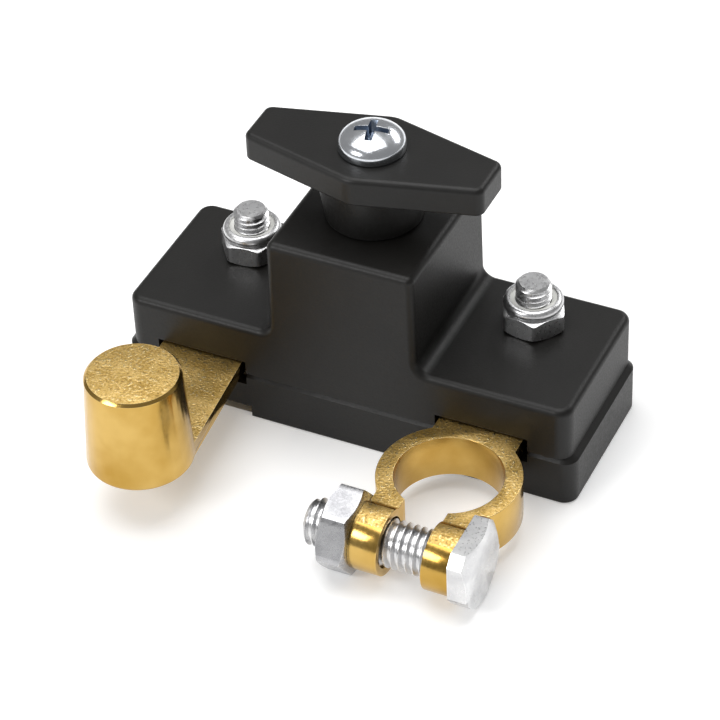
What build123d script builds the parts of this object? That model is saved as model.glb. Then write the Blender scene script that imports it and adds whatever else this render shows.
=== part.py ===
from build123d import *
from math import cos, radians, sin, sqrt, tan
import os

# Rotary battery isolator with a T-handle, an output post and a split clamp ring.
# Millimetres. Origin: centre of the base's underside. +X runs from the post side to the clamp
# side, +Y to the back of the housing, +Z up along the spindle.

os.makedirs("parts", exist_ok=True)

# Housing
cover_length = 80.0
cover_depth = 29.0
tower_width = 26.0
parting_z = 9.4
wing_top = 19.3
tower_top = 38.4
tower_draft = 0.3
wall = 2.2
floor_thickness = 2.2
end_radius = 2.5
edge_radius = 1.2
root_radius = 2.2
base_overhang = 0.95
base_edge_radius = 0.4
seam_height = 0.5
seam_inset = 0.3
base_end_chamfer = 0.93
window_width = 10.0
window_depth = 8.0
window_y = -6.5
notch_height = 2.3
notch_side_gap = 1.4
notch_depth = 4.0
reach = 1.0

# Housing screws, driven up from below
screw_inset_x = 4.0
screw_inset_y = 4.4
screw_radius = 1.45
screw_head_radius = 3.0
screw_head_height = 2.0
screw_head_recess = 0.6
screw_pilot_gap = 0.05
screw_length = 13.0
screw_shank_clearance = 0.3
screw_head_clearance = 0.2
screw_slot_length = 3.0
screw_slot_width = 0.7
screw_slot_depth = 1.2
base_column_radius = 4.0
cover_boss_radius = 3.2

# Terminal plates
plate_top = 11.4
plate_thickness = 2.6
arm_x = -26.3
clamp_plate_x = 24.7
arm_width = 14.8
neck_width = 11.0
plate_back = 11.0
tongue_width = 10.0
tongue_tip_gap = 1.0
tongue_rest_x = 15.0
tongue_rest_width = 3.0
slot_side_gap = 0.8
slot_top_gap = 0.4
slot_floor_z = 7.0
shoulder_depth = 0.5
shoulder_gap = 0.3

# Output post, tapered one in nine
post_x = -25.0
post_y = -39.1
post_top = 26.4
post_top_radius = 7.95
post_taper = 1.0 / 9.0
post_foot_radius = 0.9
post_rim_chamfer = 0.45
arm_flare = 0.7

# Clamp ring and its ears
ring_x = 24.4
ring_wall = 2.9
ring_bore_radius = 9.0
ring_height = 8.0
ring_back_gap = 0.2
ear_centre_x = 24.0
ear_gap = 7.6
ear_thickness = 5.0
ear_radius = 5.6
ear_root_share = 0.55
spot_face_gap = 0.3

# Clamp bolt and nut, M8
bolt_z = 7.1
bolt_radius = 4.0
bolt_length = 26.5
bolt_hole_radius = 4.3
bolt_head_flats = 13.0
bolt_head_height = 3.4
bolt_head_corner = 1.8
bolt_bore_gap = 0.9
clamp_nut_height = 5.2
clamp_nut_flats = 13.0
clamp_nut_turn = 7.0
thread_gap = 0.06
thread_chamfer = 0.7
seat_gap = 0.03

# Studs, M6, with locking nuts
stud_x = 25.85
stud_y = 5.3
stud_radius = 3.0
stud_top = 28.0
stud_head_flats = 10.0
stud_head_height = 4.0
stud_pocket_gap = 0.2
stud_pocket_wall = 1.6
nut_flats = 10.0
nut_turns = {"left": 7.0, "right": -7.5}
nut_hex_height = 3.9
nut_height = 5.6
nut_collar_radius = 5.0
nut_lip_radius = 3.9
insert_radius = 4.2
insert_height = 1.3
collar_lip = 0.4
sleeve_radius = 4.5
sleeve_gap = 0.05
stud_hole_gap = 0.15
stud_tube_wall = 1.5

# Spindle, its bush and the knob on it
spindle_radius = 5.0
spindle_square = 7.0
spindle_foot_z = 15.6
bush_wall = 1.6
bush_flange = 1.0
bush_flange_radius = 8.6
bush_drop = 7.2
bush_top_gap = 0.4
running_gap = 0.05
o_ring_wire = 0.6
o_ring_z = 35.4
knob_gap = 0.4
knob_length = 42.0
knob_width = 19.4
knob_end_width = 8.8
knob_top = 51.5
grip_height = 5.1
hub_top_radius = 9.4
hub_foot_radius = 8.1
knob_edge_radius = 1.0
knob_middle_radius = 5.0
knob_corner_radius = 1.6
knob_web = 2.3
knob_screw_radius = 2.5
knob_screw_length = 11.0
knob_hole_gap = 0.2
knob_screw_head_radius = 5.6
knob_screw_head_height = 3.8
knob_screw_rim = 1.1
knob_recess_width = 5.0
knob_recess_slot = 1.2
knob_recess_depth = 2.4
knob_recess_turn = 13.0
lock_washer_radius = 4.5
lock_washer_thickness = 1.2
washer_split = 0.8
press_gap = 0.05

# Blade, its carrier and the jaws that the blade turns into
blade_radius = 11.5
blade_width = 8.0
blade_thickness = 2.0
jaw_sheet = 0.8
jaw_gap = 0.2
jaw_width = 8.0
jaw_mouth_gap = 1.3
jaw_bend_x = 12.9
rivet_radius = 1.2
rivet_x = 10.4
rivet_spacing = 4.8
rivet_tail_height = 0.8
rivet_tail_radius = 1.9
carrier_wall = 1.0
carrier_pivot_radius = 3.0
carrier_foot_z = 3.6
pivot_bush_wall = 1.0
pivot_bush_top = 9.0
pivot_flange = 0.8
pivot_seat_drop = 0.4
pivot_boss_wall = 1.8
flange_bottom = 17.0
flange_height = 3.5
flange_radius = 8.6
lug_radius = 10.2
lug_half_angle = 12.0
stop_angle_gap = 1.0
stop_width_angle = 10.0
stop_radial_gap = 0.7
turn_angle = 90.0
drive_pin_radius = 1.0
seat_washer_thickness = 0.8
washer_gap = 0.15
washer_overhang = 1.2
spring_radius = 7.2
spring_wire = 0.6
spring_turns = 5.5
thrust_washer_thickness = 1.0

# Worked out from the sizes above
front_y = -cover_depth / 2
inner_x = cover_length / 2 - wall
inner_y = cover_depth / 2 - wall
tower_inner_x = tower_width / 2 - wall
slot_back_y = -inner_y + shoulder_depth + shoulder_gap
wing_roof_z = wing_top - wall
tower_roof_z = tower_top - wall
plate_bottom = plate_top - plate_thickness
post_height = post_top - plate_bottom
post_base_radius = post_top_radius + post_height * post_taper / 2
ring_radius = ring_bore_radius + ring_wall
ring_y = front_y - ring_back_gap - ring_radius
ring_bottom = plate_top - ring_height
bolt_y = ring_y - ring_bore_radius - bolt_bore_gap - bolt_radius
ear_left_x = ear_centre_x - ear_gap / 2 - ear_thickness
ear_right_x = ear_centre_x + ear_gap / 2 + ear_thickness
head_x = ear_right_x + seat_gap
bolt_head_reach = sqrt((bolt_head_flats / 2) ** 2 + (bolt_head_flats / 2 - bolt_head_corner) ** 2)
clamp_nut_x = ear_left_x - seat_gap - clamp_nut_height
screw_x = cover_length / 2 - screw_inset_x
screw_y = cover_depth / 2 - screw_inset_y
jaw_floor_z = plate_top + jaw_sheet
blade_bottom = jaw_floor_z + jaw_gap
blade_top = blade_bottom + blade_thickness
jaw_top = blade_top + jaw_gap + jaw_sheet
carrier_radius = spindle_radius + carrier_wall
tongue_tip = carrier_radius + tongue_tip_gap
jaw_mouth_x = carrier_radius + jaw_mouth_gap
flange_top = flange_bottom + flange_height
lug_angle = (180 - turn_angle) / 2
drive_pin_z = flange_bottom + flange_height / 2
bush_radius = spindle_radius + running_gap + bush_wall
bush_foot_z = tower_top - bush_drop
spring_foot_z = flange_top + seat_washer_thickness
thrust_washer_z = bush_foot_z - thrust_washer_thickness
hub_foot_z = tower_top + knob_gap
grip_bottom = knob_top - grip_height
spindle_top = knob_top - lock_washer_thickness - knob_web
sides = (("left", -1), ("right", 1))


def save(builder, name):
    builder.part.label = name
    export_step(builder.part, f"parts/{name}.step")


def upright(x, y):
    # A vertical plane through a vertical axis at x, y: local x is +X and local y is +Z.
    return Plane(origin=(x, y, 0), x_dir=(1, 0, 0), z_dir=(0, -1, 0))


def turned(points, x=0.0, y=0.0):
    # A solid turned about the vertical axis at x, y from radius and height pairs.
    with BuildSketch(upright(x, y)) as profile:
        with BuildLine():
            Polyline(points, close=True)
        make_face()
    revolve(profile.sketch, axis=Axis((x, y, 0), (0, 0, 1)))


def tube(outer, inner, bottom, top, x=0.0, y=0.0):
    turned([(inner, bottom), (outer, bottom), (outer, top), (inner, top)], x, y)


def rod(radius, bottom, top, x=0.0, y=0.0, mode=Mode.ADD):
    with BuildSketch(Plane.XY.offset(bottom)) as profile:
        with Locations((x, y)):
            Circle(radius)
    extrude(profile.sketch, amount=top - bottom, mode=mode)


def block(x0, x1, y0, y1, z0, z1, mode=Mode.ADD):
    with BuildSketch(Plane.XY.offset(z0)) as profile:
        with Locations(((x0 + x1) / 2, (y0 + y1) / 2)):
            Rectangle(abs(x1 - x0), abs(y1 - y0))
    extrude(profile.sketch, amount=z1 - z0, mode=mode)


def polar(radius, angle):
    return (radius * cos(radians(angle)), radius * sin(radians(angle)))


def slot_span(centre, width):
    return centre - width / 2 - slot_side_gap, centre + width / 2 + slot_side_gap


terminal_slots = (slot_span(arm_x, arm_width), slot_span(clamp_plate_x, arm_width))
screw_places = [(sx * screw_x, sy * screw_y) for sx in (-1, 1) for sy in (-1, 1)]

# Base tray: floor, wall, screw columns, stud pockets, tongue rests and the pivot boss.
pivot_bush_radius = carrier_pivot_radius + running_gap + pivot_bush_wall
pivot_boss_top = pivot_bush_top - pivot_flange
pivot_seat_z = carrier_foot_z - pivot_seat_drop

with BuildPart() as base_tray:
    with BuildSketch():
        RectangleRounded(cover_length + 2 * base_overhang, cover_depth, end_radius)
    extrude(amount=parting_z)
    fillet(base_tray.faces().sort_by(Axis.Z)[0].edges(), base_edge_radius)
    end_tops = base_tray.faces().sort_by(Axis.Z)[-1].edges().sort_by(Axis.X)
    chamfer([end_tops[0], end_tops[-1]], base_end_chamfer)
    with BuildSketch(Plane.XY.offset(floor_thickness)):
        Rectangle(2 * inner_x, 2 * inner_y)
    extrude(amount=parting_z - floor_thickness, mode=Mode.SUBTRACT)
    for side in (-1, 1):
        seam_out = side * (cover_depth / 2 + reach)
        seam_in = side * (cover_depth / 2 - seam_inset)
        block(-cover_length / 2, cover_length / 2, seam_in, seam_out,
              parting_z - seam_height, parting_z, Mode.SUBTRACT)
    for x, y in screw_places:
        rod(base_column_radius, 0, parting_z, x, y)
    for side in (-1, 1):
        half = stud_head_flats / sqrt(3) + stud_pocket_wall
        block(side * stud_x - half, side * stud_x + half, stud_y - half, inner_y,
              floor_thickness, plate_bottom)
        block(side * tongue_rest_x, side * (tongue_rest_x + tongue_rest_width),
              -tongue_width / 2, tongue_width / 2, floor_thickness, plate_bottom)
    rod(pivot_bush_radius + pivot_boss_wall, 0, pivot_boss_top)
    rod(pivot_bush_radius, pivot_seat_z, pivot_boss_top, mode=Mode.SUBTRACT)
    for side in (-1, 1):
        with BuildSketch(Plane.XY.offset(plate_bottom - stud_head_height)):
            with Locations((side * stud_x, stud_y)):
                RegularPolygon(stud_head_flats / 2 + stud_pocket_gap, 6, major_radius=False)
        extrude(amount=stud_head_height, mode=Mode.SUBTRACT)
        block(side * stud_x - window_width / 2, side * stud_x + window_width / 2,
              window_y - window_depth / 2, window_y + window_depth / 2,
              0, floor_thickness, Mode.SUBTRACT)
    for x0, x1 in terminal_slots:
        block(x0, x1, front_y - reach, slot_back_y, slot_floor_z, parting_z, Mode.SUBTRACT)
    block(arm_x - arm_width / 2 - notch_side_gap, arm_x + arm_width / 2 + notch_side_gap,
          front_y - reach, front_y + notch_depth, 0, notch_height, Mode.SUBTRACT)
    for x, y in screw_places:
        rod(screw_radius + screw_shank_clearance, 0, parting_z, x, y, Mode.SUBTRACT)
        rod(screw_head_radius + screw_head_clearance, 0, screw_head_recess + screw_head_height,
            x, y, Mode.SUBTRACT)
save(base_tray, "base_tray")

# Upper cover: one front outline through both wings and the tower, hollowed from below.
tower_foot = tower_width / 2 + tower_draft

with BuildPart() as upper_cover:
    with BuildSketch(Plane.XZ):
        with BuildLine():
            half_outline = [(0, parting_z), (cover_length / 2, parting_z), (cover_length / 2, wing_top),
                            (tower_foot, wing_top), (tower_width / 2, tower_top), (0, tower_top)]
            Polyline(half_outline)
            Polyline([(-x, z) for x, z in half_outline])
        make_face()
    extrude(amount=cover_depth / 2, both=True)
    along_y = upper_cover.edges().filter_by(Axis.Y)
    roots = along_y.filter_by(lambda e: abs(abs(e.center().X) - tower_foot) < 0.1)
    fillet(roots, root_radius)
    uprights = upper_cover.edges().filter_by(Axis.Z)
    fillet(uprights.filter_by(lambda e: abs(e.center().X) > inner_x), end_radius)
    front_back = upper_cover.edges().filter_by(
        lambda e: abs(abs(e.center().Y) - cover_depth / 2) < 0.01 and e.center().Z > parting_z + 0.01
        and not (abs(e.center().X) > tower_foot + root_radius + 1 and e.center().Z < wing_top - 0.01))
    tops = upper_cover.edges().filter_by(
        lambda e: abs(e.center().Y) < 0.01 and e.center().Z > tower_top - 0.01
        or abs(e.center().Z - wing_top) < 0.01 and abs(e.center().X) > cover_length / 2 - end_radius)
    fillet(front_back + tops, edge_radius)
    block(-inner_x, inner_x, -inner_y, inner_y, parting_z, wing_roof_z, Mode.SUBTRACT)
    block(-tower_inner_x, tower_inner_x, -inner_y, inner_y, wing_roof_z, tower_roof_z, Mode.SUBTRACT)
    for x, y in screw_places:
        rod(cover_boss_radius, parting_z, wing_roof_z, x, y)
        rod(screw_radius + screw_pilot_gap, parting_z, wing_roof_z - 0.2, x, y, Mode.SUBTRACT)
    for side in (-1, 1):
        rod(sleeve_radius + stud_tube_wall, plate_top, wing_roof_z, side * stud_x, stud_y)
        rod(sleeve_radius + sleeve_gap, plate_top, wing_top, side * stud_x, stud_y, Mode.SUBTRACT)
    rod(bush_flange_radius, bush_foot_z + bush_flange, tower_roof_z)
    rod(bush_radius, bush_foot_z, tower_top, mode=Mode.SUBTRACT)
    for x0, x1 in terminal_slots:
        block(x0, x1, front_y - reach, slot_back_y, parting_z, plate_top + slot_top_gap,
              Mode.SUBTRACT)
    # Two stops on the tower's side walls, one at each end of the carrier lug's travel.
    stop_end = lug_angle - lug_half_angle - stop_angle_gap
    stop_start = stop_end - stop_width_angle
    stop_near = flange_radius + stop_radial_gap
    stop_far = (tower_inner_x + wall / 2) / cos(radians(stop_start))
    with BuildSketch(Plane.XY.offset(flange_bottom + 0.5)):
        with BuildLine():
            Polyline(polar(stop_near, stop_start), polar(stop_far, stop_start),
                     polar(stop_far, stop_end), polar(stop_near, stop_end), close=True)
        make_face()
        mirror(about=Plane.YZ)
    extrude(amount=flange_height)
save(upper_cover, "upper_cover")

# Four thread-forming screws hold the tray to the cover.
with BuildPart() as base_screws:
    for x, y in screw_places:
        seat_z = screw_head_recess + screw_head_height
        tip_z = seat_z + screw_length
        turned([(0, screw_head_recess), (screw_head_radius - 0.5, screw_head_recess),
                (screw_head_radius, screw_head_recess + 0.7), (screw_head_radius, seat_z),
                (screw_radius, seat_z), (screw_radius, tip_z - 1.5), (0.4, tip_z), (0, tip_z)], x, y)
    for x, y in screw_places:
        with BuildSketch(Plane.XY.offset(screw_head_recess)):
            with Locations((x, y)):
                Rectangle(screw_slot_length, screw_slot_width)
                Rectangle(screw_slot_width, screw_slot_length)
        extrude(amount=screw_slot_depth, mode=Mode.SUBTRACT)
save(base_screws, "base_screws")

# Pivot bush in the base and the flanged bush in the tower roof.
with BuildPart() as pivot_bush:
    inner = carrier_pivot_radius + running_gap
    turned([(inner, pivot_seat_z), (pivot_bush_radius, pivot_seat_z), (pivot_bush_radius, pivot_boss_top),
            (pivot_bush_radius + 1.5, pivot_boss_top), (pivot_bush_radius + 1.5, pivot_bush_top),
            (inner, pivot_bush_top)])
save(pivot_bush, "pivot_bush")

with BuildPart() as spindle_bush:
    inner = spindle_radius + running_gap
    top = tower_top - bush_top_gap
    turned([(inner, bush_foot_z), (bush_flange_radius, bush_foot_z),
            (bush_flange_radius, bush_foot_z + bush_flange), (bush_radius, bush_foot_z + bush_flange),
            (bush_radius, top), (inner, top)])
save(spindle_bush, "spindle_bush")

with BuildPart() as thrust_washer:
    tube(spring_radius + washer_overhang, spindle_radius + washer_gap, thrust_washer_z, bush_foot_z)
save(thrust_washer, "thrust_washer")


def inside_plate(side, centre):
    # The wall passage, the neck that carries the stud and the tongue towards the middle.
    with Locations((centre, (front_y - inner_y + shoulder_depth) / 2)):
        Rectangle(arm_width, wall + shoulder_depth)
    with Locations((centre, (plate_back - inner_y) / 2)):
        Rectangle(neck_width, plate_back + inner_y)
    with Locations((side * (tongue_tip + abs(centre)) / 2, 0)):
        Rectangle(abs(centre) - tongue_tip, tongue_width)


def plate_holes(side):
    # Stud hole and the two rivet holes of the jaw.
    with Locations((side * stud_x, stud_y)):
        Circle(stud_radius + stud_hole_gap, mode=Mode.SUBTRACT)
    with Locations(*[(side * rivet_x, s * rivet_spacing / 2) for s in (-1, 1)]):
        Circle(rivet_radius, mode=Mode.SUBTRACT)


# Post terminal: flat arm out of the left slot with the solid tapered post on its end.
with BuildPart() as post_terminal:
    with BuildSketch(Plane.XY.offset(plate_bottom)):
        inside_plate(-1, arm_x)
        with BuildLine():
            near, far = arm_width / 2, arm_width / 2 + arm_flare
            Polyline((arm_x - near, front_y), (arm_x + near, front_y),
                     (post_x + far, post_y + 3), (post_x - far, post_y + 3), close=True)
        make_face()
        plate_holes(-1)
    extrude(amount=plate_thickness)
    foot = post_base_radius - post_foot_radius
    rim = post_top_radius - post_rim_chamfer
    with BuildSketch(upright(post_x, post_y)):
        with BuildLine():
            Polyline((foot, plate_bottom), (0, plate_bottom), (0, post_top), (rim, post_top),
                     (post_top_radius, post_top - post_rim_chamfer),
                     (post_base_radius, plate_bottom + post_foot_radius))
            RadiusArc((post_base_radius, plate_bottom + post_foot_radius), (foot, plate_bottom),
                      post_foot_radius)
        make_face()
    revolve(axis=Axis((post_x, post_y, 0), (0, 0, 1)))
save(post_terminal, "post_terminal")

# Clamp terminal: the same plate, then the split ring with its two ears.
with BuildPart() as clamp_terminal:
    with BuildSketch(Plane.XY.offset(plate_bottom)):
        inside_plate(1, clamp_plate_x)
        with Locations((clamp_plate_x, (front_y + ring_y) / 2)):
            Rectangle(arm_width, front_y - ring_y)
        plate_holes(1)
    extrude(amount=plate_thickness)
    rod(ring_radius, ring_bottom, plate_top, ring_x, ring_y)
    for x0 in (ear_left_x, ear_right_x - ear_thickness):
        link = ring_y - ring_bore_radius * ear_root_share - bolt_y
        with BuildSketch(Plane.YZ.offset(x0)):
            with Locations((bolt_y, bolt_z)):
                Circle(ear_radius)
            with Locations((bolt_y + link / 2, (ring_bottom + plate_top) / 2)):
                Rectangle(link, ring_height)
        extrude(amount=ear_thickness)
    rod(ring_bore_radius, ring_bottom - reach, plate_top + reach, ring_x, ring_y, Mode.SUBTRACT)
    block(ear_centre_x - ear_gap / 2, ear_centre_x + ear_gap / 2, ring_y - ring_radius - reach,
          ring_y - ring_bore_radius * ear_root_share, ring_bottom - reach, plate_top + reach, Mode.SUBTRACT)
    with BuildSketch(Plane.YZ.offset(ear_left_x)):
        with Locations((bolt_y, bolt_z)):
            Circle(bolt_hole_radius)
    extrude(amount=ear_right_x - ear_left_x, mode=Mode.SUBTRACT)
    # Spot faces that clear the corners of the bolt's head and of the nut.
    for x0, way, corner in ((ear_right_x, 1, bolt_head_reach), (ear_left_x, -1, clamp_nut_flats / sqrt(3))):
        with BuildSketch(Plane.YZ.offset(x0)):
            with Locations((bolt_y, bolt_z)):
                Circle(corner + spot_face_gap)
        extrude(amount=way * 2 * ring_wall, mode=Mode.SUBTRACT)
save(clamp_terminal, "clamp_terminal")


def wrench_blank(radius, flats, bottom, top, chamfered, plane, angle=0.0, sides=6, corner_cut=0.0):
    # A prism standing on the plane, its corners turned off at the ends named in chamfered.
    with BuildSketch(plane.offset(bottom)) as outline:
        RegularPolygon(flats / 2, sides, major_radius=False, rotation=angle)
        if corner_cut:
            chamfer(outline.vertices(), corner_cut)
    extrude(outline.sketch, amount=top - bottom)
    inner = flats / 2 - 0.3
    outer = flats / 2 / cos(radians(180 / sides)) + 1
    drop = (outer - inner) * tan(radians(30))
    side_view = Plane(origin=plane.origin, x_dir=plane.x_dir, z_dir=-plane.y_dir)
    for end, way in ((top, 1), (bottom, -1)):
        if way in chamfered:
            with BuildSketch(side_view) as turned_off:
                with BuildLine():
                    Polyline((inner, end), (outer, end), (outer, end - way * drop), close=True)
                make_face()
            revolve(turned_off.sketch, axis=Axis(plane.origin, plane.z_dir), mode=Mode.SUBTRACT)
    with BuildSketch(plane.offset(bottom)) as bore:
        Circle(radius)
    extrude(bore.sketch, amount=top - bottom, mode=Mode.SUBTRACT)


# Clamp bolt: square head outside the right ear, shank through both ears.
bolt_line = Plane(origin=(0, bolt_y, bolt_z), x_dir=(0, 1, 0), z_dir=(1, 0, 0))

with BuildPart() as clamp_bolt:
    wrench_blank(0.1, bolt_head_flats, head_x, head_x + bolt_head_height, (1,), bolt_line,
                 angle=45, sides=4, corner_cut=bolt_head_corner)
    with BuildSketch(bolt_line.offset(head_x + bolt_head_height / 2)):
        Circle(bolt_radius)
    extrude(amount=-bolt_length - bolt_head_height / 2)
    chamfer(clamp_bolt.faces().sort_by(Axis.X)[0].edges(), thread_chamfer)
save(clamp_bolt, "clamp_bolt")

with BuildPart() as clamp_nut:
    wrench_blank(bolt_radius + thread_gap, clamp_nut_flats, clamp_nut_x, clamp_nut_x + clamp_nut_height,
                 (-1, 1), bolt_line, clamp_nut_turn)
save(clamp_nut, "clamp_nut")

# Studs, their spacer sleeves and their locking nuts, one set on each side.
collar_z = wing_top + nut_hex_height

for side_name, side in sides:
    x = side * stud_x
    stud_line = Plane(origin=(x, stud_y, 0))

    with BuildPart() as stud:
        wrench_blank(0.1, stud_head_flats, plate_bottom - stud_head_height, plate_bottom, (-1,), stud_line)
        rod(stud_radius, plate_bottom - stud_head_height / 2, stud_top, x, stud_y)
        chamfer(stud.faces().sort_by(Axis.Z)[-1].edges(), thread_chamfer)
    save(stud, f"{side_name}_stud")

    with BuildPart() as sleeve:
        tube(sleeve_radius, stud_radius + stud_hole_gap, plate_top, wing_top, x, stud_y)
    save(sleeve, f"{side_name}_spacer_sleeve")

    insert_top = wing_top + nut_height - collar_lip
    insert_foot = insert_top - insert_height
    with BuildPart() as lock_nut:
        wrench_blank(stud_radius + thread_gap, nut_flats, wing_top, collar_z, (-1, 1), stud_line,
                     nut_turns[side_name])
        tube(nut_collar_radius - 0.2, stud_radius + thread_gap, collar_z - 0.6, wing_top + nut_height,
             x, stud_y)
        turned([(insert_radius, collar_z), (nut_collar_radius, collar_z + 0.3),
                (nut_collar_radius, wing_top + nut_height - 0.7),
                (nut_collar_radius - 0.7, wing_top + nut_height), (insert_radius, wing_top + nut_height)],
               x, stud_y)
        rod(insert_radius, insert_foot, wing_top + nut_height, x, stud_y, Mode.SUBTRACT)
        tube(insert_radius + 0.3, nut_lip_radius, insert_top, wing_top + nut_height, x, stud_y)
    save(lock_nut, f"{side_name}_lock_nut")

    with BuildPart() as nut_insert:
        tube(insert_radius - running_gap, stud_radius + thread_gap, insert_foot + seat_gap,
             insert_top - seat_gap, x, stud_y)
    save(nut_insert, f"{side_name}_nut_insert")

# Contact jaws: a sheet clip bent round so that the blade turns in between its two leaves.
for side_name, side in sides:
    bend_radius = (blade_thickness + 2 * jaw_gap + jaw_sheet) / 2
    leaf_z = plate_top + jaw_sheet / 2

    with BuildPart() as contact_jaw:
        with BuildSketch(Plane.XZ):
            with BuildLine() as clip:
                lower_leaf = Line((side * jaw_mouth_x, leaf_z), (side * jaw_bend_x, leaf_z))
                bend = RadiusArc(lower_leaf @ 1, (side * jaw_bend_x, leaf_z + 2 * bend_radius),
                                 side * -bend_radius)
                Line(bend @ 1, (side * jaw_mouth_x, leaf_z + 2 * bend_radius))
                offset(amount=jaw_sheet / 2, side=Side.BOTH)
            make_face()
        extrude(amount=jaw_width / 2, both=True)
        for s in (-1, 1):
            rod(rivet_radius, plate_top, jaw_floor_z, side * rivet_x, s * rivet_spacing / 2, Mode.SUBTRACT)
    save(contact_jaw, f"{side_name}_contact_jaw")

    with BuildPart() as jaw_rivets:
        for s in (-1, 1):
            place = (side * rivet_x, s * rivet_spacing / 2)
            rod(rivet_radius, plate_bottom - rivet_tail_height / 2, jaw_floor_z, *place)
            rod(rivet_tail_radius, plate_bottom - rivet_tail_height, plate_bottom, *place)
    save(jaw_rivets, f"{side_name}_jaw_rivets")

# Blade: a flat bar with round ends that sweeps from jaw to jaw.
with BuildPart() as knife_blade:
    with BuildSketch(Plane.XY.offset(blade_bottom)):
        Circle(blade_radius)
        Rectangle(2 * blade_radius, blade_width, mode=Mode.INTERSECT)
    extrude(amount=blade_thickness)
save(knife_blade, "knife_blade")

# Blade carrier: pivot, body with the slot for the blade, flange and stop lug.
carrier_shoulder_z = pivot_bush_top + running_gap

with BuildPart() as blade_carrier:
    turned([(0, carrier_foot_z), (carrier_pivot_radius - 0.5, carrier_foot_z),
            (carrier_pivot_radius, carrier_foot_z + 0.5), (carrier_pivot_radius, carrier_shoulder_z),
            (carrier_radius, carrier_shoulder_z), (carrier_radius, flange_bottom),
            (flange_radius, flange_bottom), (flange_radius, flange_top), (0, flange_top)])
    lug_start, lug_end = lug_angle - lug_half_angle, lug_angle + lug_half_angle
    with BuildSketch(Plane.XY.offset(flange_bottom)):
        with BuildLine():
            inner_start, outer_start = polar(flange_radius - reach, lug_start), polar(lug_radius, lug_start)
            inner_end, outer_end = polar(flange_radius - reach, lug_end), polar(lug_radius, lug_end)
            Line(inner_start, outer_start)
            ThreePointArc(outer_start, polar(lug_radius, lug_angle), outer_end)
            Polyline(outer_end, inner_end, inner_start)
        make_face()
    extrude(amount=flange_height)
    block(-blade_radius, blade_radius, -blade_width / 2 - press_gap, blade_width / 2 + press_gap,
          blade_bottom - press_gap, blade_top + press_gap, Mode.SUBTRACT)
    rod(spindle_radius + press_gap, spindle_foot_z - press_gap, flange_top, mode=Mode.SUBTRACT)
    with BuildSketch(Plane.XZ):
        with Locations((0, drive_pin_z)):
            Circle(drive_pin_radius + press_gap)
    extrude(amount=flange_radius, both=True, mode=Mode.SUBTRACT)
save(blade_carrier, "blade_carrier")

# Spindle: round through the bush, square in the knob, tapped for the knob screw.
with BuildPart() as spindle:
    square_foot = hub_foot_z + 0.6
    rod(spindle_radius, spindle_foot_z, square_foot)
    chamfer(spindle.faces().sort_by(Axis.Z)[0].edges(), 0.6)
    with BuildSketch(Plane.XY.offset(square_foot)):
        Rectangle(spindle_square, spindle_square)
    extrude(amount=spindle_top - square_foot)
    groove = o_ring_wire + 0.1
    groove_root = spindle_radius - 2 * o_ring_wire
    groove_mouth = spindle_radius + reach
    with BuildSketch(Plane.XZ) as groove_section:
        with BuildLine():
            Polyline((groove_root, o_ring_z - groove), (groove_mouth, o_ring_z - groove),
                     (groove_mouth, o_ring_z + groove), (groove_root, o_ring_z + groove), close=True)
        make_face()
    revolve(groove_section.sketch, axis=Axis.Z, mode=Mode.SUBTRACT)
    rod(knob_screw_radius, knob_top - knob_screw_length - reach, spindle_top, mode=Mode.SUBTRACT)
    with BuildSketch(Plane.XZ):
        with Locations((0, drive_pin_z)):
            Circle(drive_pin_radius + press_gap / 2)
    extrude(amount=spindle_radius + reach, both=True, mode=Mode.SUBTRACT)
save(spindle, "spindle")

with BuildPart() as drive_pin:
    with BuildSketch(Plane.XZ):
        with Locations((0, drive_pin_z)):
            Circle(drive_pin_radius)
    extrude(amount=flange_radius - 0.3, both=True)
save(drive_pin, "drive_pin")

with BuildPart() as spindle_o_ring:
    with BuildSketch(Plane.XZ) as section:
        with Locations((spindle_radius - o_ring_wire, o_ring_z)):
            Circle(o_ring_wire)
    revolve(section.sketch, axis=Axis.Z)
save(spindle_o_ring, "spindle_o_ring")

with BuildPart() as spring_seat:
    tube(spring_radius + washer_overhang, spindle_radius + washer_gap, flange_top, spring_foot_z)
save(spring_seat, "spring_seat")

# Pressure spring between the carrier's seat washer and the thrust washer under the bush.
with BuildPart() as pressure_spring:
    coil_foot = spring_foot_z + spring_wire
    coil_height = thrust_washer_z - spring_foot_z - 2 * spring_wire
    with BuildLine() as coil:
        Helix(pitch=coil_height / spring_turns, height=coil_height, radius=spring_radius,
              center=(0, 0, coil_foot))
    with BuildSketch(Plane(origin=coil.line @ 0, z_dir=coil.line % 0)) as wire:
        Circle(spring_wire)
    sweep(path=coil.line, is_frenet=True)
save(pressure_spring, "pressure_spring")

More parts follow.
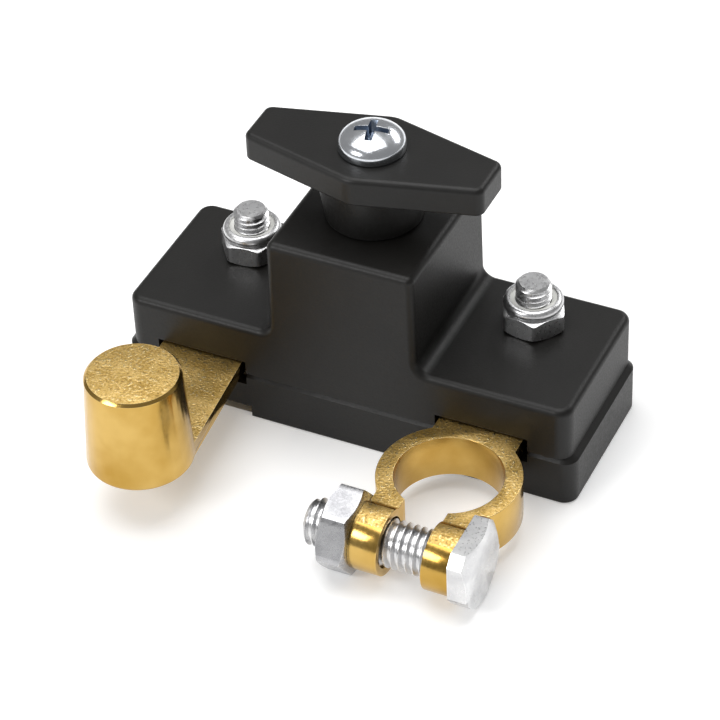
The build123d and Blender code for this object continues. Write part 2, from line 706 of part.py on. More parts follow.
# Knob: long six-sided grip on a hub that narrows towards the tower.
with BuildPart() as knob:
    half_length, half_width, half_end = knob_length / 2, knob_width / 2, knob_end_width / 2
    with BuildSketch(Plane.XY.offset(grip_bottom)) as grip:
        with BuildLine():
            Polyline((half_length, -half_end), (half_length, half_end), (0, half_width),
                     (-half_length, half_end), (-half_length, -half_end), (0, -half_width), close=True)
        make_face()
        corners = grip.vertices()
        fillet(corners.filter_by(lambda v: abs(v.X) < 1), knob_middle_radius)
        fillet(grip.vertices().filter_by(lambda v: abs(v.X) > half_length - 1), knob_corner_radius)
    extrude(amount=grip_height)
    fillet(knob.faces().sort_by(Axis.Z)[-1].edges(), knob_edge_radius)
    fillet(knob.faces().sort_by(Axis.Z)[0].edges(), knob_edge_radius / 2)
    turned([(0, hub_foot_z), (hub_foot_radius, hub_foot_z),
            (hub_top_radius, grip_bottom + reach), (0, grip_bottom + reach)])
    socket = spindle_square + 2 * press_gap
    with BuildSketch(Plane.XY.offset(hub_foot_z)):
        Rectangle(socket, socket)
    extrude(amount=spindle_top - hub_foot_z, mode=Mode.SUBTRACT)
    rod(spindle_radius + 2 * press_gap, hub_foot_z, hub_foot_z + 0.7, mode=Mode.SUBTRACT)
    rod(knob_screw_radius + knob_hole_gap, spindle_top, knob_top, mode=Mode.SUBTRACT)
    rod(lock_washer_radius + 0.15, knob_top - lock_washer_thickness, knob_top, mode=Mode.SUBTRACT)
save(knob, "knob")

with BuildPart() as knob_lock_washer:
    tube(lock_washer_radius, knob_screw_radius + knob_hole_gap, knob_top - lock_washer_thickness, knob_top)
    block(0, lock_washer_radius + reach, -washer_split / 2, washer_split / 2,
          knob_top - lock_washer_thickness, knob_top, Mode.SUBTRACT)
save(knob_lock_washer, "knob_lock_washer")

# Knob screw: pan head with a cross recess.
with BuildPart() as knob_screw:
    rim_z = knob_top + knob_screw_rim
    with BuildSketch(Plane.XZ) as section:
        with BuildLine():
            Polyline((0, knob_top + knob_screw_head_height), (0, knob_top - knob_screw_length),
                     (knob_screw_radius - 0.6, knob_top - knob_screw_length),
                     (knob_screw_radius, knob_top - knob_screw_length + 0.6), (knob_screw_radius, knob_top),
                     (knob_screw_head_radius, knob_top), (knob_screw_head_radius, rim_z))
            EllipticalCenterArc((0, rim_z), knob_screw_head_radius,
                                knob_screw_head_height - knob_screw_rim)
        make_face()
    revolve(section.sketch, axis=Axis.Z)
    with BuildSketch(Plane.XY.offset(knob_top + knob_screw_head_height - knob_recess_depth)) as recess:
        Rectangle(knob_recess_width, knob_recess_slot, rotation=knob_recess_turn)
        Rectangle(knob_recess_slot, knob_recess_width, rotation=knob_recess_turn)
    extrude(recess.sketch, amount=knob_recess_depth, mode=Mode.SUBTRACT)
save(knob_screw, "knob_screw")
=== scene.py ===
from math import cos, pi, radians, sin, tan

import bmesh
import bpy
from mathutils import Matrix, Vector


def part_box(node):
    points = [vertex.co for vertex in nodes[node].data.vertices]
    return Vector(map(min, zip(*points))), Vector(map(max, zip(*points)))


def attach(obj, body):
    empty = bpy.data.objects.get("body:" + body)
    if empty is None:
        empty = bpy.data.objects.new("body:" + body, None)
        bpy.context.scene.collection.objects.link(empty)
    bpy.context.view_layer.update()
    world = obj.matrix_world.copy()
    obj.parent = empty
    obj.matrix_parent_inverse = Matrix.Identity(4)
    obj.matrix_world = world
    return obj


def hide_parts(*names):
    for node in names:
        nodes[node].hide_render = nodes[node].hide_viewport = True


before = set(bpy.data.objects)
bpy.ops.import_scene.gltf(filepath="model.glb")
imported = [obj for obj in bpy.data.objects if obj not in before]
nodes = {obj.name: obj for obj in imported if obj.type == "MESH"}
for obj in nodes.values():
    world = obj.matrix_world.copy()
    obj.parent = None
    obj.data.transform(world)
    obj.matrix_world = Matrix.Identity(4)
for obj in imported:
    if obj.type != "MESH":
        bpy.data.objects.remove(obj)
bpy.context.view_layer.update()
mm = 0.001
print("frame loaded:", len(nodes), "nodes")

def midOf(node):
    low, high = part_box(node)
    return (low + high) / 2


def alongX(origin):
    # local z runs along +X, local x along +Y
    turn = Matrix(((0, 0, 1), (1, 0, 0), (0, 1, 0))).to_4x4()
    return Matrix.Translation(origin) @ turn


def finishPiece(bm, name, material, body, stands, sharpAngle=32, place=None):
    if place is not None:
        bmesh.ops.transform(bm, matrix=place, verts=bm.verts)
    bmesh.ops.recalc_face_normals(bm, faces=bm.faces)
    mesh = bpy.data.meshes.new(name)
    bm.to_mesh(mesh)
    bm.free()
    mesh.shade_smooth()
    mesh.set_sharp_from_angle(angle=radians(sharpAngle))
    for one in material if isinstance(material, list) else [material]:
        mesh.materials.append(one)
    piece = bpy.data.objects.new(name, mesh)
    bpy.context.scene.collection.objects.link(piece)
    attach(piece, body)
    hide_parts(*stands)
    return piece


def spinProfile(bm, points, steps=64):
    # closed ring of radius, height pairs turned a full circle about local z
    verts = [bm.verts.new((r * mm, 0, z * mm)) for r, z in points]
    edges = [bm.edges.new((a, b)) for a, b in zip(verts, verts[1:])]
    made = bmesh.ops.spin(bm, geom=verts + edges, cent=(0, 0, 0), axis=(0, 0, 1), dvec=(0, 0, 0),
                          angle=2 * pi, steps=steps, use_merge=True, use_duplicate=False)
    bmesh.ops.remove_doubles(bm, verts=bm.verts, dist=1e-7)
    return made


def addSlab(bm, size, centre, turn=0.0):
    made = bmesh.ops.create_cube(bm, size=1.0)
    place = Matrix.Translation(centre) @ Matrix.Rotation(turn, 4, "Z") @ Matrix.Diagonal((*size, 1))
    bmesh.ops.transform(bm, matrix=place, verts=made["verts"])
    return made["verts"]


def link(tree, source, target):
    tree.links.new(source, target)


def addMath(tree, operation, first, second, clamp=False):
    node = tree.nodes.new("ShaderNodeMath")
    node.operation = operation
    node.use_clamp = clamp
    for socket, value in ((node.inputs[0], first), (node.inputs[1], second)):
        if isinstance(value, (int, float)):
            socket.default_value = value
        else:
            link(tree, value, socket)
    return node.outputs[0]


shot = {"eye": (175.258, -359.617, 341.838), "azimuth": 26.4766, "elevation": 39.9183, "roll": -2.5418,
        "lens": 153.805}


def makeCamera():
    data = bpy.data.cameras.new("shotCamera")
    data.lens = shot["lens"]
    data.sensor_width = 36
    data.clip_start, data.clip_end = 0.05, 20
    camera = bpy.data.objects.new("shotCamera", data)
    bpy.context.scene.collection.objects.link(camera)
    tilt = Matrix.Rotation(radians(shot["azimuth"]), 4, "Z")
    tilt = tilt @ Matrix.Rotation(radians(90 - shot["elevation"]), 4, "X")
    tilt = tilt @ Matrix.Rotation(radians(shot["roll"]), 4, "Z")
    camera.matrix_world = Matrix.Translation(Vector(shot["eye"]) * mm) @ tilt
    bpy.context.scene.camera = camera
    return camera


studio = {"floorSize": 6.0, "floorTone": 0.86, "floorGlow": 0.27, "shadeHalf": (0.039, 0.0135),
          "worldTone": (1.0, 1.0, 1.0), "worldStrength": 0.3,
          "keyBox": {"place": (-0.55, -0.9, 0.75), "aim": (0, 0, 0.02), "size": (0.5, 0.4), "watts": 6},
          "topBox": {"place": (-0.2, 0.1, 1.3), "aim": (0, 0, 0.02), "size": (1.2, 1.2), "watts": 14},
          "backBox": {"place": (0.35, 1.1, 0.8), "aim": (0, 0, 0.03), "size": (0.9, 0.35), "watts": 4.5}}


def softBox(name, place, aim, size, watts):
    data = bpy.data.lights.new(name, "AREA")
    data.shape = "RECTANGLE"
    data.size, data.size_y = size
    data.energy = watts
    lamp = bpy.data.objects.new(name, data)
    bpy.context.scene.collection.objects.link(lamp)
    lamp.location = place
    lamp.rotation_euler = (Vector(aim) - Vector(place)).to_track_quat("-Z", "Y").to_euler()
    return lamp


def addFloorGlow(tree, shader):
    # the floor glows a little, except under the housing
    split = tree.nodes.new("ShaderNodeSeparateXYZ")
    link(tree, tree.nodes.new("ShaderNodeTexCoord").outputs["Object"], split.inputs[0])
    beyond = []
    for axis, half in zip("XY", studio["shadeHalf"]):
        size = addMath(tree, "ABSOLUTE", split.outputs[axis], 0.0)
        beyond.append(addMath(tree, "GREATER_THAN", size, half))
    glow = addMath(tree, "MULTIPLY", addMath(tree, "MAXIMUM", *beyond), studio["floorGlow"])
    link(tree, glow, shader.inputs["Emission Strength"])


def makeStudio():
    scene = bpy.context.scene
    scene.view_settings.view_transform = "Standard"
    world = bpy.data.worlds.new("studioAir")
    scene.world = world
    world.use_nodes = True
    air = world.node_tree.nodes["Background"]
    air.inputs["Color"].default_value = (*studio["worldTone"], 1)
    air.inputs["Strength"].default_value = studio["worldStrength"]
    bm = bmesh.new()
    bmesh.ops.create_grid(bm, x_segments=1, y_segments=1, size=studio["floorSize"] / 2)
    mesh = bpy.data.meshes.new("studioFloor")
    bm.to_mesh(mesh)
    bm.free()
    floor = bpy.data.objects.new("studioFloor", mesh)
    scene.collection.objects.link(floor)
    paint = bpy.data.materials.new("floorPaint")
    paint.use_nodes = True
    shader = paint.node_tree.nodes["Principled BSDF"]
    tone = studio["floorTone"]
    shader.inputs["Base Color"].default_value = (tone, tone, tone, 1)
    shader.inputs["Roughness"].default_value = 0.9
    shader.inputs["Specular IOR Level"].default_value = 0.1
    shader.inputs["Emission Color"].default_value = (1, 1, 1, 1)
    addFloorGlow(paint.node_tree, shader)
    mesh.materials.append(paint)
    for name in ("keyBox", "topBox", "backBox"):
        softBox(name, **studio[name])


makeCamera()
makeStudio()
print("camera and studio ready")


def newGroup(name, ins, outs):
    tree = bpy.data.node_groups.new(name, "ShaderNodeTree")
    for label, kind, value in ins:
        socket = tree.interface.new_socket(name=label, in_out="INPUT", socket_type=kind)
        socket.default_value = value
    for label, kind in outs:
        tree.interface.new_socket(name=label, in_out="OUTPUT", socket_type=kind)
    return tree, tree.nodes.new("NodeGroupInput"), tree.nodes.new("NodeGroupOutput")


def addRange(tree, value, fromLow, fromHigh, toLow, toHigh):
    node = tree.nodes.new("ShaderNodeMapRange")
    limits = {"From Min": fromLow, "From Max": fromHigh, "To Min": toLow, "To Max": toHigh}
    for name, number in limits.items():
        if isinstance(number, (int, float)):
            node.inputs[name].default_value = number
        else:
            link(tree, number, node.inputs[name])
    link(tree, value, node.inputs["Value"])
    return node.outputs["Result"]


def addMix(tree, factor, first, second):
    node = tree.nodes.new("ShaderNodeMix")
    node.data_type = "RGBA"
    for name, value in (("Factor", factor), ("A", first), ("B", second)):
        socket = node.inputs[name]
        if isinstance(value, (int, float, tuple)):
            socket.default_value = value
        else:
            link(tree, value, socket)
    return node.outputs["Result"]


def addNoise(tree, where, scale, detail=3.0, rough=0.55):
    node = tree.nodes.new("ShaderNodeTexNoise")
    link(tree, where, node.inputs["Vector"])
    for name, number in (("Scale", scale), ("Detail", detail), ("Roughness", rough)):
        if isinstance(number, (int, float)):
            node.inputs[name].default_value = number
        else:
            link(tree, number, node.inputs[name])
    return node.outputs["Fac"]


def makeGrainGroup():
    # fine moulded or cast grain: a height and a slow tone that drifts over the surface
    tree, into, out = newGroup("surfaceGrain",
                               [("Grain Scale", "NodeSocketFloat", 2500.0),
                                ("Drift Scale", "NodeSocketFloat", 60.0),
                                ("Grain Share", "NodeSocketFloat", 0.7)],
                               [("Height", "NodeSocketFloat"), ("Drift", "NodeSocketFloat"),
                                ("Grain", "NodeSocketFloat")])
    where = tree.nodes.new("ShaderNodeTexCoord").outputs["Object"]
    fine = addNoise(tree, where, into.outputs["Grain Scale"], 4.0, 0.6)
    slow = addNoise(tree, where, into.outputs["Drift Scale"], 3.0, 0.5)
    part = addMath(tree, "MULTIPLY", fine, into.outputs["Grain Share"])
    rest = addMath(tree, "MULTIPLY", slow, addMath(tree, "SUBTRACT", 1.0, into.outputs["Grain Share"]))
    link(tree, addMath(tree, "ADD", part, rest), out.inputs["Height"])
    link(tree, addRange(tree, slow, 0.3, 0.7, 0.0, 1.0), out.inputs["Drift"])
    link(tree, addRange(tree, fine, 0.3, 0.7, 0.0, 1.0), out.inputs["Grain"])
    return tree


def makeEdgeWearSheenGroup():
    # 1 on corners, 0 on open faces: the mask lightens corners as wear and as a painted edge highlight
    tree, into, out = newGroup("edgeWearAndSheen",
                               [("Width", "NodeSocketFloat", 0.0004), ("Gain", "NodeSocketFloat", 6.0),
                                ("Break Scale", "NodeSocketFloat", 400.0)],
                               [("Mask", "NodeSocketFloat")])
    soft = tree.nodes.new("ShaderNodeBevel")
    soft.samples = 4
    link(tree, into.outputs["Width"], soft.inputs["Radius"])
    flat = tree.nodes.new("ShaderNodeNewGeometry")
    dot = tree.nodes.new("ShaderNodeVectorMath")
    dot.operation = "DOT_PRODUCT"
    link(tree, soft.outputs["Normal"], dot.inputs[0])
    link(tree, flat.outputs["Normal"], dot.inputs[1])
    away = addMath(tree, "SUBTRACT", 1.0, dot.outputs["Value"])
    strong = addMath(tree, "MULTIPLY", away, into.outputs["Gain"], clamp=True)
    where = tree.nodes.new("ShaderNodeTexCoord").outputs["Object"]
    broken = addNoise(tree, where, into.outputs["Break Scale"], 3.0, 0.6)
    broken = addRange(tree, broken, 0.3, 0.65, 0.25, 1.0)
    link(tree, addMath(tree, "MULTIPLY", strong, broken, clamp=True), out.inputs["Mask"])
    return tree


grainGroup = makeGrainGroup()
edgeWearSheenGroup = makeEdgeWearSheenGroup()


def useGroup(tree, group, **values):
    node = tree.nodes.new("ShaderNodeGroup")
    node.node_tree = group
    for name, number in values.items():
        node.inputs[name.replace("_", " ")].default_value = number
    return node


def newMaterial(name):
    material = bpy.data.materials.new(name)
    material.use_nodes = True
    tree = material.node_tree
    return material, tree, tree.nodes["Principled BSDF"]


def addBump(tree, shader, height, strength, distance):
    bump = tree.nodes.new("ShaderNodeBump")
    bump.inputs["Strength"].default_value = strength
    bump.inputs["Distance"].default_value = distance
    link(tree, height, bump.inputs["Height"])
    link(tree, bump.outputs["Normal"], shader.inputs["Normal"])


def makePlastic(name, deep, pale, edgeWearSheen, roughLow, roughHigh, grainScale=2600.0, bump=0.12, rub=3.0):
    material, tree, shader = newMaterial(name)
    grain = useGroup(tree, grainGroup, Grain_Scale=grainScale, Drift_Scale=70.0, Grain_Share=0.8)
    edge = useGroup(tree, edgeWearSheenGroup, Width=0.0007, Gain=rub, Break_Scale=260.0)
    body = addMix(tree, grain.outputs["Drift"], (*deep, 1), (*pale, 1))
    # corners take a lighter colour: wear and a painted edge highlight
    link(tree, addMix(tree, edge.outputs["Mask"], body, (*edgeWearSheen, 1)), shader.inputs["Base Color"])
    rough = addRange(tree, grain.outputs["Grain"], 0.0, 1.0, roughLow, roughHigh)
    link(tree, addMath(tree, "SUBTRACT", rough, addMath(tree, "MULTIPLY", edge.outputs["Mask"], 0.08)),
         shader.inputs["Roughness"])
    shader.inputs["Specular IOR Level"].default_value = 0.3
    addBump(tree, shader, grain.outputs["Height"], bump, 0.0002)
    return material


def makeMetal(name, deep, pale, edgeWearSheen, roughLow, roughHigh, grainScale, driftScale, bump,
              edgeWidth=0.0004, bumpDepth=0.0002):
    material, tree, shader = newMaterial(name)
    grain = useGroup(tree, grainGroup, Grain_Scale=grainScale, Drift_Scale=driftScale, Grain_Share=0.75)
    edge = useGroup(tree, edgeWearSheenGroup, Width=edgeWidth, Gain=4.0, Break_Scale=500.0)
    body = addMix(tree, grain.outputs["Drift"], (*deep, 1), (*pale, 1))
    # corners take a lighter colour: wear and a painted edge highlight
    link(tree, addMix(tree, edge.outputs["Mask"], body, (*edgeWearSheen, 1)), shader.inputs["Base Color"])
    rough = addRange(tree, grain.outputs["Grain"], 0.0, 1.0, roughLow, roughHigh)
    link(tree, addMath(tree, "SUBTRACT", rough, addMath(tree, "MULTIPLY", edge.outputs["Mask"], 0.12)),
         shader.inputs["Roughness"])
    shader.inputs["Metallic"].default_value = 1.0
    addBump(tree, shader, grain.outputs["Height"], bump, bumpDepth)
    return material


housingPlastic = makePlastic("housingPlastic", (0.0062, 0.0058, 0.0052), (0.0095, 0.0088, 0.0078),
                             (0.018, 0.018, 0.017),
                             0.36, 0.5, rub=1.2)
handlePlastic = makePlastic("handlePlastic", (0.0075, 0.0072, 0.0068), (0.0115, 0.011, 0.0102),
                            (0.03, 0.03, 0.03),
                            0.34, 0.46)
rotorPlastic = makePlastic("rotorPlastic", (0.08, 0.08, 0.08), (0.13, 0.13, 0.13), (0.2, 0.2, 0.2),
                           0.4, 0.55)
turnedBrass = makeMetal("turnedBrass", (0.45, 0.265, 0.05), (0.62, 0.41, 0.125), (0.93, 0.74, 0.36),
                        0.13, 0.24, 1500.0, 120.0, 0.12, 0.0003, 0.0001)
zincPlate = makeMetal("zincPlate", (0.56, 0.56, 0.57), (0.76, 0.76, 0.76), (0.9, 0.9, 0.89),
                      0.24, 0.4, 2200.0, 250.0, 0.07, 0.0003, 0.0001)
nutPlate = makeMetal("nutPlate", (0.34, 0.34, 0.355), (0.5, 0.5, 0.51), (0.85, 0.85, 0.85),
                     0.2, 0.36, 2200.0, 250.0, 0.06, 0.0003, 0.0001)
nickelPlate = makeMetal("nickelPlate", (0.66, 0.69, 0.73), (0.78, 0.8, 0.83), (0.93, 0.93, 0.93),
                        0.14, 0.24, 1800.0, 150.0, 0.05, 0.0003, 0.0001)
recessShade = makeMetal("recessShade", (0.16, 0.2, 0.27), (0.3, 0.35, 0.42), (0.7, 0.72, 0.75),
                        0.25, 0.4, 1800.0, 300.0, 0.1, 0.0003, 0.0001)
springSteel = makeMetal("springSteel", (0.42, 0.42, 0.43), (0.55, 0.55, 0.56), (0.7, 0.7, 0.7),
                        0.25, 0.4, 2000.0, 150.0, 0.1)
drawnCopper = makeMetal("drawnCopper", (0.68, 0.33, 0.18), (0.8, 0.45, 0.28), (0.92, 0.62, 0.42),
                        0.25, 0.4, 2000.0, 130.0, 0.12)
bushBronze = makeMetal("bushBronze", (0.45, 0.29, 0.13), (0.6, 0.41, 0.2), (0.75, 0.55, 0.3),
                       0.35, 0.55, 3000.0, 160.0, 0.25)


def makeCastBrass():
    # sand-cast skin: broad tone drift, small dark pits and bright raised grains painted as highlight glints
    material, tree, shader = newMaterial("castBrass")
    grain = useGroup(tree, grainGroup, Grain_Scale=2300.0, Drift_Scale=300.0, Grain_Share=0.85)
    edge = useGroup(tree, edgeWearSheenGroup, Width=0.0003, Gain=4.0, Break_Scale=500.0)
    body = addMix(tree, grain.outputs["Drift"], (0.5, 0.32, 0.085, 1), (0.74, 0.51, 0.18, 1))
    pits = addRange(tree, grain.outputs["Grain"], 0.12, 0.42, 0.5, 0.0)
    body = addMix(tree, pits, body, (0.13, 0.07, 0.02, 1))
    # painted highlight: bright glints on the raised grains
    paintedGlints = addRange(tree, grain.outputs["Grain"], 0.62, 0.9, 0.0, 0.65)
    body = addMix(tree, paintedGlints, body, (0.98, 0.84, 0.5, 1))
    # corners take a lighter colour: wear and a painted edge highlight
    link(tree, addMix(tree, edge.outputs["Mask"], body, (0.95, 0.76, 0.42, 1)), shader.inputs["Base Color"])
    link(tree, addRange(tree, grain.outputs["Grain"], 0.2, 0.9, 0.55, 0.24), shader.inputs["Roughness"])
    shader.inputs["Metallic"].default_value = 1.0
    addBump(tree, shader, grain.outputs["Height"], 0.7, 0.0002)
    return material


def makeNylon():
    material, tree, shader = newMaterial("insertNylon")
    grain = useGroup(tree, grainGroup, Grain_Scale=1800.0, Drift_Scale=300.0, Grain_Share=0.6)
    link(tree, addMix(tree, grain.outputs["Drift"], (0.72, 0.72, 0.68, 1), (0.86, 0.86, 0.83, 1)),
         shader.inputs["Base Color"])
    link(tree, addRange(tree, grain.outputs["Grain"], 0.0, 1.0, 0.35, 0.5), shader.inputs["Roughness"])
    addBump(tree, shader, grain.outputs["Height"], 0.08, 0.0002)
    return material


def makeRubber():
    material, tree, shader = newMaterial("sealRubber")
    grain = useGroup(tree, grainGroup, Grain_Scale=3000.0, Drift_Scale=200.0, Grain_Share=0.7)
    link(tree, addMix(tree, grain.outputs["Drift"], (0.012, 0.012, 0.012, 1), (0.025, 0.025, 0.025, 1)),
         shader.inputs["Base Color"])
    link(tree, addRange(tree, grain.outputs["Grain"], 0.0, 1.0, 0.6, 0.8), shader.inputs["Roughness"])
    addBump(tree, shader, grain.outputs["Height"], 0.15, 0.0002)
    return material


castBrass = makeCastBrass()
insertNylon = makeNylon()
sealRubber = makeRubber()
finishes = {"housing_plastic": housingPlastic, "knob_plastic": handlePlastic, "carrier_nylon": rotorPlastic,
            "cast_brass": castBrass, "zinc_steel": zincPlate, "spring_steel": springSteel,
            "contact_copper": drawnCopper, "bush_bronze": bushBronze, "insert_nylon": insertNylon,
            "seal_rubber": sealRubber}
for node in nodes.values():
    slotName = node.data.materials[0].name.split(".")[0]
    node.data.materials[0] = finishes[slotName]
print("finishes on", len(nodes), "nodes")


def cutAt(bm, height, way, drop):
    everything = bm.verts[:] + bm.edges[:] + bm.faces[:]
    bmesh.ops.bisect_plane(bm, geom=everything, plane_co=(0, 0, height * mm), plane_no=(0, 0, way),
                           clear_outer=drop, dist=1e-7)


def addThread(bm, radius, pitch, foot, top, tip, way, steps=48):
    # one turn of a sixty degree thread, repeated up the shank,
    # cut square at both ends and chamfered at the tip
    root = radius - 0.6134 * pitch
    low = foot - 1.5 * pitch
    shape = [(root, 0.0), (root, 0.125), (radius, 0.4375), (radius, 0.5625), (root, 0.875), (root, 1.0)]
    verts = [bm.verts.new((r * mm, 0, (low + z * pitch) * mm)) for r, z in shape]
    edges = [bm.edges.new((a, b)) for a, b in zip(verts, verts[1:])]
    bmesh.ops.spin(bm, geom=verts + edges, cent=(0, 0, 0), axis=(0, 0, 1), dvec=(0, 0, pitch * mm / steps),
                   angle=2 * pi, steps=steps, use_merge=False, use_duplicate=False)
    turn = bm.verts[:] + bm.edges[:] + bm.faces[:]
    for lift in range(1, round((top - foot) / pitch) + 3):
        made = bmesh.ops.duplicate(bm, geom=turn)["geom"]
        bmesh.ops.translate(bm, vec=(0, 0, lift * pitch * mm),
                            verts=[one for one in made if isinstance(one, bmesh.types.BMVert)])
    bmesh.ops.remove_doubles(bm, verts=bm.verts, dist=2e-6)
    cutAt(bm, foot, -1, True)
    cutAt(bm, top, 1, True)
    chamfer = 0.16 * radius + 0.1
    for share in (0.35, 0.7, 1.0):
        cutAt(bm, tip - way * chamfer * share, way, False)
    for vert in bm.verts:
        room = radius - chamfer + way * (tip - vert.co.z / mm)
        reach = Vector(vert.co.xy).length / mm
        if reach > room:
            vert.co.x *= room / reach
            vert.co.y *= room / reach
    bmesh.ops.holes_fill(bm, edges=[edge for edge in bm.edges if edge.is_boundary], sides=0)


def addBlank(bm, flats, foot, top, bore, softEnds, turn=0.0, sides=6, corner=0.12, steps=96):
    # a turned blank whose outside is pressed to flats, its corners cut back at thirty degrees
    half = flats / 2
    washer = half - 0.25
    start = len(bm.verts)
    ring = [(washer, foot), (half, foot), (half, top), (washer, top)]
    if bore:
        ring = [(bore + 0.35, foot)] + ring + [(bore + 0.35, top), (bore, top - 0.35), (bore, foot + 0.35)]
        ring += [(bore + 0.35, foot)]
    else:
        ring = [(0, foot)] + ring + [(0, top)]
    spinProfile(bm, ring, steps)
    bm.verts.ensure_lookup_table()
    for vert in bm.verts[start:]:
        reach = Vector(vert.co.xy).length / mm
        if reach < half - 0.1:
            continue
        angle = Vector(vert.co.xy).angle_signed(Vector((1, 0)), 0)
        wedge = (angle - radians(turn)) % (2 * pi / sides) - pi / sides
        far = half / cos(wedge)
        beside = (half / cos(pi / sides) - corner) / cos(pi / sides - abs(wedge))
        far = min(far, beside)
        vert.co.x *= far / reach
        vert.co.y *= far / reach
        drop = (far - washer) * tan(radians(30)) * mm
        if vert.co.z > (foot + top) / 2 * mm and 1 in softEnds:
            vert.co.z -= drop
        if vert.co.z < (foot + top) / 2 * mm and -1 in softEnds:
            vert.co.z += drop


threadGap = 0.06
stud = {"radius": 3.0, "pitch": 1.0, "headFlats": 10.0, "headHeight": 4.0}


def makeStud(side):
    bm = bmesh.new()
    low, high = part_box(f"{side}_stud")
    mid = midOf(f"{side}_stud")
    foot, top = low.z / mm, high.z / mm
    addThread(bm, stud["radius"], stud["pitch"], foot + 2, top, top, 1)
    addBlank(bm, stud["headFlats"], foot, foot + stud["headHeight"], 0, (-1,))
    return finishPiece(bm, f"{side}StudThreaded", zincPlate, "housing", [f"{side}_stud"],
                       place=Matrix.Translation((mid.x, mid.y, 0)))


lockNut = {"flats": 10.0, "hexHeight": 3.9, "collar": 5.0, "insert": 4.2, "lip": 3.9,
           "turn": {"left": 7.0, "right": -7.5}}


def makeLockNut(side):
    bm = bmesh.new()
    low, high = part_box(f"{side}_lock_nut")
    mid = midOf(f"{side}_lock_nut")
    foot, top = low.z / mm, high.z / mm
    waist = foot + lockNut["hexHeight"]
    addBlank(bm, lockNut["flats"], foot, waist, stud["radius"] + threadGap, (-1, 1), lockNut["turn"][side])
    wide, bore, lip = lockNut["collar"], lockNut["insert"], lockNut["lip"]
    spinProfile(bm, [(bore, waist - 0.05), (wide - 0.55, waist - 0.05), (wide - 0.4, waist + 0.12),
                     (wide - 0.1, waist + 0.3), (wide, waist + 0.55), (wide, top - 0.85),
                     (wide - 0.12, top - 0.45), (wide - 0.38, top - 0.13), (wide - 0.7, top),
                     (lip + 0.1, top), (lip, top - 0.1), (lip, top - 0.32), (lip + 0.08, top - 0.4),
                     (bore, top - 0.4), (bore, waist - 0.05)], 72)
    return finishPiece(bm, f"{side}NutCollared", zincPlate, f"{side}_nut", [f"{side}_lock_nut"],
                       place=Matrix.Translation((mid.x, mid.y, 0)))


for side in ("left", "right"):
    makeStud(side)
    makeLockNut(side)
print("studs and lock nuts made")

clampBolt = {"radius": 4.0, "pitch": 1.25, "flats": 13.0, "head": 3.4, "corner": 1.27, "nutTurn": 7.0}


def makeClampBolt():
    bm = bmesh.new()
    low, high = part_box("clamp_bolt")
    mid = midOf("clamp_bolt")
    tip, face = low.x / mm, high.x / mm
    addThread(bm, clampBolt["radius"], clampBolt["pitch"], tip, face - clampBolt["head"] / 2, tip, -1, 56)
    addBlank(bm, clampBolt["flats"], face - clampBolt["head"], face, 0, (1,), 45,
             sides=4, corner=clampBolt["corner"], steps=160)
    return finishPiece(bm, "clampBoltThreaded", zincPlate, "clamp_bolt", ["clamp_bolt"],
                       place=alongX((0, mid.y, mid.z)))


def makeClampNut():
    bm = bmesh.new()
    low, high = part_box("clamp_nut")
    mid = midOf("clamp_nut")
    addBlank(bm, clampBolt["flats"], low.x / mm, high.x / mm, clampBolt["radius"] + threadGap, (-1, 1),
             clampBolt["nutTurn"])
    return finishPiece(bm, "clampNutHex", nutPlate, "clamp_nut", ["clamp_nut"],
                       place=alongX((0, mid.y, mid.z)))


makeClampBolt()
makeClampNut()
print("clamp bolt and nut made")


def softenedCopy(node, offset, segments, angle=35):
    bm = bmesh.new()
    bm.from_mesh(nodes[node].data)
    bmesh.ops.remove_doubles(bm, verts=bm.verts, dist=2e-6)
    bmesh.ops.dissolve_limit(bm, angle_limit=radians(0.6), verts=bm.verts, edges=bm.edges,
                             use_dissolve_boundaries=False)
    edges = [e for e in bm.edges if len(e.link_faces) == 2 and e.calc_face_angle() > radians(angle)]
    bmesh.ops.bevel(bm, geom=edges, offset=offset * mm, offset_type="OFFSET", segments=segments, profile=0.5,
                    affect="EDGES", clamp_overlap=True, material=-1)
    return bm


def makeTerminal(node, name, offset):
    bm = softenedCopy(node, offset, 3)
    bm.normal_update()
    for face in bm.faces:
        face.material_index = 0 if abs(face.normal.z) > 0.9 else 1
    return finishPiece(bm, name, [castBrass, turnedBrass], "housing", [node])


makeTerminal("clamp_terminal", "clampRingCast", 0.4)
makeTerminal("post_terminal", "outputPostCast", 0.35)
print("terminals made")

handleScrew = {"wing": 8.0, "slot": 1.7, "deep": 2.4, "turn": 13.0}


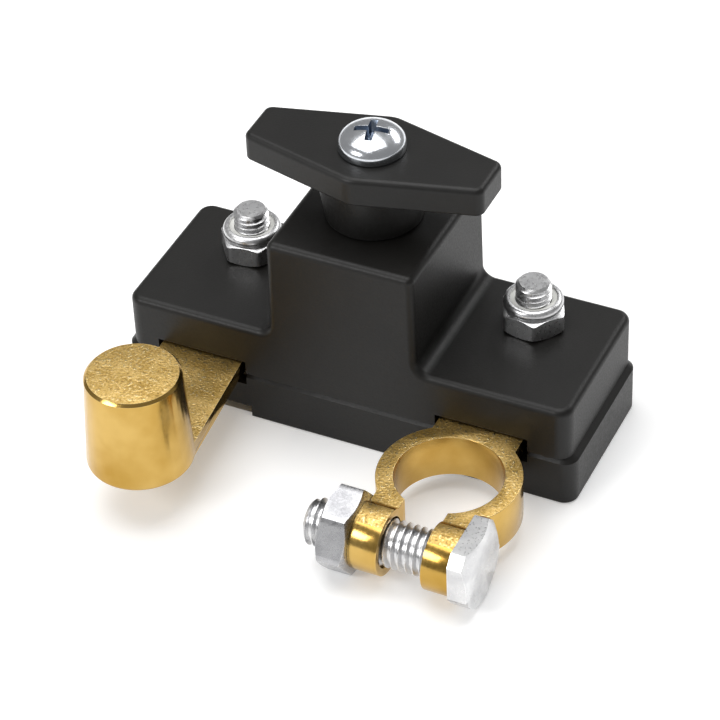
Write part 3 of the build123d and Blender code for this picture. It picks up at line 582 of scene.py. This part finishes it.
def makeHandleScrew():
    low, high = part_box("knob_screw")
    foot, top = low.z / mm, high.z / mm
    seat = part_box("knob")[1].z / mm
    wide = high.x / mm
    rise = top - seat - 1.1
    bm = bmesh.new()
    dome = [(wide * cos(radians(a)), seat + 1.1 + rise * sin(radians(a))) for a in range(0, 90, 9)]
    spinProfile(bm, [(0, foot), (1.9, foot), (2.5, foot + 0.6), (2.5, seat), (wide - 0.25, seat),
                     (wide - 0.07, seat + 0.08), (wide, seat + 0.25)] + dome + [(0, top)], 96)
    bmesh.ops.recalc_face_normals(bm, faces=bm.faces)
    head = finishPiece(bm, "handleScrewPan", [nickelPlate, recessShade], "selector", ["knob_screw"])
    cutter = bmesh.new()
    for quarter in (0, 90):
        size = (handleScrew["wing"] * mm, handleScrew["slot"] * mm, handleScrew["deep"] * 2 * mm)
        verts = addSlab(cutter, size, (0, 0, top * mm), radians(handleScrew["turn"] + quarter))
        for vert in verts:
            if vert.co.z < top * mm:
                vert.co.x *= 0.5
                vert.co.y *= 0.5
    mesh = bpy.data.meshes.new("crossCutter")
    bmesh.ops.recalc_face_normals(cutter, faces=cutter.faces)
    for face in cutter.faces:
        face.material_index = 1
    cutter.to_mesh(mesh)
    cutter.free()
    mesh.materials.append(nickelPlate)
    mesh.materials.append(recessShade)
    tool = bpy.data.objects.new("crossCutter", mesh)
    bpy.context.scene.collection.objects.link(tool)
    cut = head.modifiers.new("crossRecess", "BOOLEAN")
    cut.operation = "DIFFERENCE"
    cut.solver = "EXACT"
    cut.use_self = True
    cut.object = tool
    soft = head.modifiers.new("softEdge", "BEVEL")
    soft.width = 0.1 * mm
    soft.segments = 2
    soft.limit_method = "ANGLE"
    soft.angle_limit = radians(40)
    bpy.context.view_layer.update()
    ready = bpy.data.meshes.new_from_object(head.evaluated_get(bpy.context.evaluated_depsgraph_get()))
    head.modifiers.clear()
    head.data = ready
    ready.shade_smooth()
    ready.set_sharp_from_angle(angle=radians(35))
    bpy.data.objects.remove(tool)
    return head


makeHandleScrew()
print("handle screw made")
